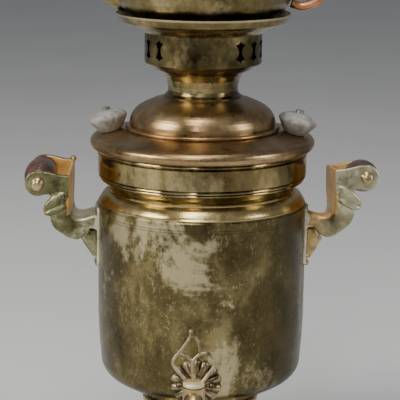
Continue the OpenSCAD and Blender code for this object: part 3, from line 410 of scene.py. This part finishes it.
def tube_ring(path, i, r, side, sides, flat=1.0):
    """The ring of a tube round its path's point i."""
    before, after = path[max(i - 1, 0)], path[min(i + 1, len(path) - 1)]
    across = (after - before).normalized().cross(side).normalized()
    return [path[i] + across * r * math.cos(a) + side * r * flat * math.sin(a)
            for a in (2 * math.pi * k / sides for k in range(sides))]


def add_tube(bm, path, radii, side=(0, 1, 0), sides=12, flat=1.0):
    """A tube along path, flat times as thick along side as across it."""
    side = Vector(side).normalized()
    if not isinstance(radii, list):
        radii = [radii] * len(path)
    add_loft(bm, [tube_ring(path, i, r, side, sides, flat) for i, r in enumerate(radii)])


def add_pipe(bm, path, radii, wall, sides=28):
    """An open pipe with a wall: outside and inside skins joined at both ends."""
    side = Vector((0, 1, 0))
    outside = [tube_ring(path, i, r, side, sides) for i, r in enumerate(radii)]
    inside = [tube_ring(path, i, r - wall, side, sides) for i, r in enumerate(radii)]
    add_loft(bm, outside + inside[::-1], closed=True)
    bmesh.ops.recalc_face_normals(bm, faces=bm.faces)


def add_ball(bm, centre, r):
    """A small round lump."""
    for v in bmesh.ops.create_icosphere(bm, subdivisions=3, radius=r)["verts"]:
        v.co += centre


def cast_solid(name, bm, voxel, smooth, keep, rough):
    """One skin round everything in bm, softened like a casting; keep is the share of faces left."""
    bmesh.ops.recalc_face_normals(bm, faces=bm.faces)
    bmesh.ops.triangulate(bm, faces=[f for f in bm.faces if len(f.verts) > 4])
    obj = mesh_object(name, bm)
    remesh = obj.modifiers.new("remesh", "REMESH")
    remesh.mode, remesh.voxel_size = "VOXEL", voxel
    soft = obj.modifiers.new("soft", "SMOOTH")
    soft.iterations = smooth
    obj.modifiers.new("thin", "DECIMATE").ratio = keep
    bake(obj)
    moves = [v.normal * rough * noise.noise(v.co * 160) for v in obj.data.vertices]
    for v, move in zip(obj.data.vertices, moves):
        v.co += move
    obj.data.polygons.foreach_set("use_smooth", [True] * len(obj.data.polygons))
    return obj


def bake(obj):
    """Apply the modifiers."""
    mesh = bpy.data.meshes.new_from_object(obj.evaluated_get(bpy.context.evaluated_depsgraph_get()))
    obj.modifiers.clear()
    obj.data = mesh


def lathe(name, profile, place, around, shape=None):
    """A turned piece: profile of (r, z) in millimetres; shape(point, angle) may move a point."""
    bm = bmesh.new()
    rows = []
    for r, z in profile:
        row = []
        for k in range(1 if r < 1e-6 else around):
            a = 2 * math.pi * k / around
            p = Vector((r * math.cos(a), r * math.sin(a), z))
            row.append(bm.verts.new(place @ ((shape(p, a) if shape else p) * MM)))
        rows.append(row)
    for low, high in zip(rows, rows[1:]):
        for k in range(around):
            n = (k + 1) % around
            corners = [low[k % len(low)], low[n % len(low)], high[n % len(high)], high[k % len(high)]]
            bm.faces.new(list(dict.fromkeys(corners)))
    bmesh.ops.recalc_face_normals(bm, faces=bm.faces)
    return mesh_object(name, bm)


def finish_piece(obj, look, body, slot, *nodes):
    """Give a piece its material and its body, and hide the nodes that it stands for; the slot argument is
    not used.
    """
    obj.data.materials.clear()
    obj.data.materials.append(MATERIALS[look].material)
    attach(obj, body)
    if nodes:
        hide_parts(*nodes)


# ---- Handles ----
def handle_place(side):
    """A function from (outward, across, up) in millimetres to a point on that side's handle."""
    turn = Matrix.Rotation(RIGHT_TURN, 4, "X") if side == "right" else Matrix.Identity(4)
    flip = Matrix.Diagonal((1 if side == "right" else -1, 1, 1, 1))
    pivot = Vector((0, 0, PLATE_Z * MM))

    def place(u, y, z):
        p = Vector((u * MM, y * MM, z * MM)) - pivot
        return HANDLE_YAW @ flip @ (turn @ p + pivot)

    return place


def handle_stations():
    """Along the stem: a point (u, z) of its inner line, one of its outer line, and its half width."""
    g, z, s, w = GRIP_U, GRIP_Z, STEM_HALF, HANDLE_HALF
    return [(109.5, z - 37, 109.5, z - 54, s), (g - 53, z - 39, g - 53, z - 52.5, s),
            (g - 47, z - 41, g - 47, z - 59, s + 0.5), (g - 42, z - 42, g - 40, z - 63.5, s + 2),
            (g - 37, z - 41.5, g - 32, z - 62, s + 5), (g - 34, z - 39, g - 24, z - 56, s + 10),
            (g - 32.8, z - 34, g - 16, z - 48, w - 9), (g - 32.5, z - 28, g - 12.5, z - 38, w - 4),
            (g - 32.8, z - 22, g - 13, z - 27, w - 1), (g - 33, z - 14, g - 13.3, z - 15, w - 0.2),
            (g - 33, z + 1, g - 14, z + 1, w), (g - 33, z + 8.5, g - 15, z + 10, w)]


def channel_rings(place):
    """The stem's sections: a web with a cheek on each side, open outwards."""
    stations = handle_stations()
    inner = spline([(u, z, 0) for u, z, *_ in stations], 5)
    outer = spline([(u, z, 0) for _, _, u, z, _ in stations], 5)
    halves = spline([(half, 0, 0) for *_, half in stations], 5)
    t, bevel = CHEEK_T, 2.2
    rings = []
    for i, o, half in zip(inner, outer, halves):
        w = half.x
        d = (o - i).normalized()
        i1, i2 = i + d * bevel, i + d * (3.0 if w > 30 else 5.5)
        flat = [(i, -w + bevel), (i1, -w), (o, -w), (o, -w + t), (i2, -w + t),
                (i2, w - t), (o, w - t), (o, w), (i1, w), (i, w - bevel)]
        rings.append([place(p.x, y, p.y) for p, y in flat])
    return rings


def head_outline():
    """A cheek in (u, z): the throat below the rod, the curl round it and the crest."""
    g, z = GRIP_U, GRIP_Z
    curl = [(g + 13 * math.cos(math.radians(a)), z + 0.5 + 13 * math.sin(math.radians(a)))
            for a in range(-112, 79, 8)]
    throat = [(g - 33, z - 14), (g - 14, z - 14), (g - 12.5, z - 11), (g - 8.5, z - 10.8)]
    crest = [(g - 4, z + 13.2), (g - 9, z + 12.6), (g - 15, z + 11.2), (g - 22, z + 9.4), (g - 28, z + 8.4),
             (g - 33, z + 8)]
    return throat + curl + crest


# The leaf on a cheek: its outline, then each ridge's line and its radii along that line
LEAF = [(140.6, 301), (143.9, 298.2), (151.2, 294.6), (159.2, 291.4), (163.2, 293), (164.3, 296.8),
        (163.4, 302), (160, 307), (154.8, 312.8), (149, 315.4), (143, 315)]
LEAF_RIDGES = (
    ([(141.5, 315.2), (146.9, 313), (154, 308.6), (160.2, 302.6), (163, 297.8)],
     (0.8, 2.4, 3.3, 3.0, 1.6)),
    ([(140.6, 303.4), (145, 300.4), (151.4, 297.4), (157.6, 294.6), (162.2, 294)],
     (0.8, 2.6, 3.3, 3.2, 1.8)),
    ([(144.5, 308.2), (150, 305.8), (155.4, 301.6), (159.6, 298.6)], (0.5, 1.2, 1.4, 0.8)))


def add_handle_leaf(bm, place, face):
    """The leaf that wraps each cheek: a raised pad, two broad ridges and a vein between them."""
    lift = HANDLE_HALF * face
    add_prism(bm, LEAF, place, lift - 4 * face, lift + 1.5 * face)
    for way, r in LEAF_RIDGES:
        path = spline([place(u, lift + 0.6 * face, z) for u, z in way], 6)
        sizes = [v.x * MM for v in spline([(x, 0, 0) for x in r], 6)]
        add_tube(bm, path, sizes, side=place(0, 1, 0) - place(0, 0, 0), flat=0.9)


def add_plate(bm, place):
    """The curved plate on the body, its lower scroll and the leaf under the stem."""
    half, tall, corner = STEM_HALF, 32.0, 6.0
    cols, steps = 24, 12
    outward = (place(1, 0, 0) - place(0, 0, 0)).normalized()
    across = Vector((0, 0, 1)).cross(outward)
    rings = []
    for j in range(cols + 1):
        y = -half + 2 * half * j / cols
        past = max(0.0, abs(y) - (half - corner))
        top = tall - corner + math.sqrt(max(0.0, corner * corner - past * past))
        ring = []
        for out in (-0.7, 2.6):
            for k in range(steps + 1):
                z = -top + 2 * top * (k if out < 0 else steps - k) / steps
                p = place(0, y, PLATE_Z + z)
                off = p.dot(across)
                ring.append(outward * math.sqrt((BODY_R * MM + out * MM) ** 2 - off * off) + across * off
                            + Vector((0, 0, p.z)))
        rings.append(ring)
    add_loft(bm, rings)
    scroll = [place(math.sqrt((BODY_R + 1.9) ** 2 - y * y), y, PLATE_Z - tall + 2.0)
              for y in range(-19, 20, 2)]
    add_tube(bm, scroll, 2.3 * MM, side=(0, 0, 1))
    # The leaf's sections: height from the plate's middle, how far out, half width
    sections = ((-26.5, 113.2, 5), (-22, 116.5, 8), (-14, 121.5, 11), (-6.5, 126.5, 13.5), (0, 128, 15),
                (6, 124, 15))
    angles = [math.pi * k / steps for k in range(steps + 1)]
    add_loft(bm, [[place(108 + (out - 108) * (math.sin(a) ** 0.55), wide * math.cos(a), PLATE_Z + z)
                   for a in angles] for z, out, wide in sections])
    vein = [place(u, 0, PLATE_Z - down) for u, down in ((114.5, 26), (122.6, 14), (128.4, 4))]
    add_tube(bm, spline(vein, 6), 1.3 * MM, side=(0, 1, 0))


def handle(side):
    """One handle: the bracket in one casting, its grip and the buttons of its rod."""
    place = handle_place(side)
    bm = bmesh.new()
    add_loft(bm, channel_rings(place))
    outline = head_outline()
    for face in (-1, 1):
        add_prism(bm, outline, place, (HANDLE_HALF - CHEEK_T) * face, HANDLE_HALF * face)
        add_handle_leaf(bm, place, face)
    add_plate(bm, place)
    if side == "left":
        add_ball(bm, place(138, 45.5, GRIP_Z + 9.5), 3.4 * MM)
    casting = cast_solid(f"handle_{side}_casting", bm, 0.8 * MM, 4, 0.45, 0.12 * MM)
    finish_piece(casting, f"cast_{side}", "samovar", "cast_brass",
                 f"handle_{side}_stem", f"handle_{side}_fork")
    # Slots for the gold painted reflection and for the pale rim with its painted highlight.
    for look in ("gold", "rim"):
        casting.data.materials.append(MATERIALS[look].material)
    tint_casting(side, casting, place)
    grip(side, place)
    for end in (-1, 1):
        button(side, place, end)


def tint_casting(side, casting, place):
    """A painted reflection in gold inside the channel, on the web's body side and on the right web's top; a
    painted highlight in pale brass on the left web's top; the plate's edge pale.
    """
    gold, rim = 1, 2
    origin = place(0, 0, 0)
    outward = (place(1, 0, 0) - origin).normalized()
    out_y = (place(0, 1, 0) - origin).normalized()
    for poly in casting.data.polygons:
        rel = poly.center - origin
        u, y, z = rel.dot(outward) / MM, rel.dot(out_y) / MM, poly.center.z / MM
        ragged = 1.6 * noise.noise(poly.center * 260)
        # Inside the channel and on the web's body side: gold, a painted reflection.
        inside = abs(y) < HANDLE_HALF - CHEEK_T + 1.2 and 136 < u < 184 and z > 296
        facing = poly.normal.dot(outward)
        strap = abs(y) < HANDLE_HALF + 1 and facing < -0.35 and u < 141 and z > 291 + ragged
        # Upward faces of the web: a painted highlight, pale on the left and gold on the right.
        ledge = poly.normal.z > 0.35 and u < 141 and 274 < z < 300 and abs(y) < STEM_HALF + 12
        edge = u < 112.9 and abs(facing) < 0.7 and abs(y) > STEM_HALF - 3 and 229 < z < 296
        if inside or strap or (ledge and side == "right" and u > 116):
            poly.material_index = gold
        elif edge or (ledge and side == "left"):
            poly.material_index = rim


def on_rod(place, y, way):
    """A frame on the grip's rod at y, with its Z along the rod, towards way."""
    axis = (place(0, way, 0) - place(0, 0, 0)).normalized()
    turn = Vector((0, 0, 1)).rotation_difference(axis).to_matrix().to_4x4()
    return Matrix.Translation(place(GRIP_U, y, GRIP_Z)) @ turn


def grip(side, place):
    """The turned wooden grip: a ringed end, a grooved barrel and the same end again."""
    half = HANDLE_HALF - CHEEK_T - 0.4
    ring_end = [(3.1, 0), (12.6, 0), (13.6, 1.0), (13.8, 3.4), (12.2, 4.4), (12.2, 5.0), (13.9, 6.0),
                (14.2, 8.6), (12.6, 9.8), (12.6, 10.4)]
    profile = [(r, z - half) for r, z in ring_end]
    span, groove, groove_wide = half - 11, 0.42, 0.014
    barrel = []
    for k in range(161):
        t = k / 80 - 1
        r = 13.8 + 3.2 * math.cos(math.pi / 2 * t) ** 0.8
        for at in (-0.88, -0.80, -0.72, -0.60, -0.54, 0.54, 0.60, 0.72, 0.80, 0.88):
            r -= groove * math.exp(-((t - at) / groove_wide) ** 2)
        barrel.append((r, t * span))
    profile += barrel + [(r, -z) for r, z in reversed(profile)]
    obj = lathe(f"handle_{side}_grip_wood", profile, on_rod(place, 0, 1), 72)
    finish_piece(obj, "grip", f"{side}_grip", "grip_wood", f"handle_{side}_grip")


def button(side, place, end):
    """The turned button on one end of a grip's rod: a skirt and a cap; the front one carries the rod."""
    dome = [(6.0, -0.2), (6.7, 0.4), (6.9, 1.3), (6.6, 2.1), (5.5, 2.6), (5.1, 3.1), (5.5, 3.8), (5.6, 5.1),
            (5.2, 6.3), (4.2, 7.0), (2.2, 7.4), (0, 7.45)]
    rod_end = -2 * HANDLE_HALF - 2
    root = [(0, rod_end), (2.9, rod_end), (2.9, -0.2)] if end < 0 else [(0, -0.2)]
    where, node = ("back", "nut") if end > 0 else ("front", "rod")
    obj = lathe(f"handle_{side}_button_{where}", root + dome, on_rod(place, HANDLE_HALF * end, end), 48)
    finish_piece(obj, "tap", "samovar", "cast_brass", f"handle_{side}_{node}")


# ---- Lid knobs ----
def lid_knob(side):
    """A turned wooden knob, square to the lid's flange, uneven and cracked."""
    sign = 1 if side == "right" else -1
    foot_z = FLANGE_EDGE_Z + (FLANGE_EDGE_R - KNOB_AT) * math.tan(FLANGE_TURN)
    foot = Vector((sign * KNOB_AT, 0, foot_z)) * MM
    place = Matrix.Translation(foot) @ Matrix.Rotation(sign * FLANGE_TURN, 4, "Y")
    profile = [(2.1, 0.15), (10.3, 0.15), (11.6, 0.9), (13.8, 3.6), (16.2, 7), (18.2, 10), (19.6, 12.4),
               (20.1, 13.9), (19.9, 15.3), (18.9, 16.7), (16.8, 18.4), (14, 19.9), (11, 21), (8, 21.9),
               (5, 22.4), (2.1, 22.6)]
    noise_z, main_crack = (62.0, 5.2) if side == "left" else (188.0, 4.35)
    # Each crack: where it is round the knob, how wide in radians, how deep
    cracks = ((main_crack, 0.035, 1.6), (3.9, 0.02, 0.7), (5.6, 0.022, 0.8), (2.1, 0.02, 0.8))

    def lump(p, a):
        q = Vector((p.x, p.y, p.z + noise_z))
        push = 0.5 * noise.noise(q * 0.06) + 0.14 * noise.noise(q * 0.2)
        crack = 0.0
        for at, wide, deep in cracks:
            off = (a - at - 0.05 * math.sin(p.z * 0.9) + math.pi) % (2 * math.pi) - math.pi
            crack += 0.6 * deep * math.exp(-(off / wide) ** 2)
        outward = Vector((p.x, p.y, 0)).normalized()
        fade = min(1.0, max(0.0, (p.xy.length - 4) / 6)) * (1 if 0.5 < p.z < 22 else 0.3)
        return p + outward * fade * (push - crack)

    obj = lathe(f"lid_knob_{side}_wood", profile, place, 220, lump)
    finish_piece(obj, "knob", "lid", "knob_wood", f"lid_knob_{side}")


# ---- Tap ----
def rosette():
    """A fluted shell that lies against the body: petals with a crease between neighbours."""
    inner, outer, hem = 10.05, 26.4, 0.93
    around, steps = PETALS * 18, 26
    bm = bmesh.new()
    front, back = [], []
    for j in range(steps + 1):
        t = j / steps
        row_front, row_back = [], []
        for k in range(around):
            a = 2 * math.pi * k / around
            lobe = abs(math.sin(PETALS * a / 2)) ** 0.6
            rim = outer * (0.93 + 0.07 * lobe)
            r = inner + (rim - inner) * t
            x, z = r * math.cos(a), TAP_Z + r * math.sin(a)
            rise = 3.4 - 2.2 * t ** 2 + 0.6 * math.sin(math.pi * t)
            flute = lobe * (0.4 + 2.9 * min(1.0, t * 1.5)) - 1.0 * t
            edge = 1.0 if t < hem else math.sqrt(max(0.0, 1 - ((t - hem) / 0.07) ** 2))
            base = math.sqrt(max(body_radius(max(z, 116.0)), 60) ** 2 - x * x)
            skin = math.sqrt(body_radius(z) ** 2 - x * x)
            lift = base + (rise + flute) * edge
            row_front.append(bm.verts.new(Vector((x, -lift, z)) * MM))
            row_back.append(bm.verts.new(Vector((x, -skin + 0.2, z)) * MM))
        front.append(row_front)
        back.append(row_back)
    bands = [*zip(front, front[1:]), *zip(back, back[1:]), (front[-1], back[-1]), (front[0], back[0])]
    for low, high in bands:
        add_band(bm, low, high)
    bmesh.ops.recalc_face_normals(bm, faces=bm.faces)
    finish_piece(mesh_object("tap_rosette_shell", bm), "rosette", "samovar", "cast_brass", "rosette")


def key_openwork():
    """The key's bent openwork leaf: two lobes, a pointed arch over them and a middle bar."""
    leaf_z, flange_z, plug_z, tall = 146.3, 143.7, 143.4, 1.085

    def at(x, z):
        return Vector((x, TAP_Y + 0.25 * math.sin(z * 0.12), leaf_z + z * tall)) * MM

    bm = bmesh.new()
    # Each bar: its line on the leaf and its radius
    ways = [
        ([(-5, -0.6), (-10, 5), (-16, 11.5), (-20.3, 17.5), (-20.4, 22), (-17.5, 26.5), (-12.6, 32),
          (-8.0, 38), (-4.6, 44), (-3.4, 46.6)], 1.7),
        ([(-3.4, 46.6), (1.4, 44), (4.4, 38.5), (5.6, 32), (6.0, 27.6)], 1.6),
        ([(-19.6, 24.0), (-16.6, 27.6), (-12.4, 28.6), (-8.0, 27.0), (-4.6, 23.6), (-2.0, 20.6)], 1.6),
        ([(-2.0, 20.6), (0.8, 24.0), (4.4, 27.2), (9.2, 29.0), (14.4, 28.2), (18.6, 24.8), (20.2, 20.4),
          (18.6, 15.4), (14.0, 8.8), (9.0, 2.6), (6.6, -0.6)], 1.75),
        ([(-1.6, 20.4), (-0.9, 11), (-0.2, -0.6)], 2.3),
    ]
    for way, r in ways:
        add_tube(bm, spline([at(x, z) for x, z in way]), r * MM, flat=0.9)
    add_ball(bm, at(-3.2, 49.4), 2.3 * MM)
    add_tube(bm, spline([at(-3.4, 46), at(-3.2, 49)], 3), 1.3 * MM)
    leaf = cast_solid("tap_key_openwork", bm, 0.42 * MM, 3, 0.6, 0.05 * MM)
    finish_piece(leaf, "key", "tap_key", "tap_brass")
    profile = [(0, -3.4), (7.1, -3.4), (7.1, -0.1), (9.8, -0.1), (10.6, 0.5), (10.8, 1.6), (10.7, 3.4),
               (10.1, 4.3), (9, 4.7), (5, 4.9), (0, 5.0)]
    flange = lathe("tap_key_flange", profile, Matrix.Translation(Vector((0, TAP_Y, flange_z)) * MM), 64)
    finish_piece(flange, "flange", "tap_key", "tap_brass")
    plug = lathe("tap_key_plug", [(0, -40), (2.5, -40), (2.5, -32.2), (5.5, -32.2), (7.1, -0.3), (0, -0.3)],
                 Matrix.Translation(Vector((0, TAP_Y, plug_z)) * MM), 48)
    finish_piece(plug, "tap", "tap_key", "tap_brass", "tap_key")
    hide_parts("tap_key")


# ---- Teapot ----
def pot_path(sign, line):
    """A smooth path from (past the pot's side, above its foot) in millimetres."""
    return spline([(sign * (POT_R + out), 0, POT_Z + up) for out, up in line])


def teapot_pieces():
    """The pot's open spout and its bowed handle."""
    way = pot_path(-1, ((-16, 31), (2, 38), (20, 49), (36, 63), (48, 80), (60, 94), (66, 98)))
    count = len(way) - 1
    radii = [(7 + 9.5 * (1 - i / count) ** 1.3) * MM for i in range(count + 1)]
    bm = bmesh.new()
    add_pipe(bm, [p * MM for p in way], radii, 1.5 * MM)
    finish_piece(mesh_object("teapot_spout_pipe", bm), "pot", "teapot", "cast_brass", "teapot_spout")
    way = pot_path(1, ((-3, 27), (10, 24), (28, 33), (38, 50), (38, 70), (28, 87), (10, 93), (-22, 86)))
    count = len(way) - 1
    radii = [(4.2 + 1.1 * math.sin(math.pi * i / count)) * MM for i in range(count + 1)]
    bm = bmesh.new()
    add_tube(bm, [p * MM for p in way], radii, sides=20, flat=1.25)
    bmesh.ops.recalc_face_normals(bm, faces=bm.faces)
    finish_piece(mesh_object("teapot_handle_bar", bm), "copper", "teapot", "pot_brass", "teapot_handle")


def dress_nodes():
    """Give every solid of the frame its material."""
    for node_name, look in NODE_LOOKS.items():
        for slot in bpy.data.objects[node_name].material_slots:
            slot.material = MATERIALS[look].material


camera()
studio()
dress_nodes()
for side in ("left", "right"):
    handle(side)
    lid_knob(side)
rosette()
key_openwork()
teapot_pieces()
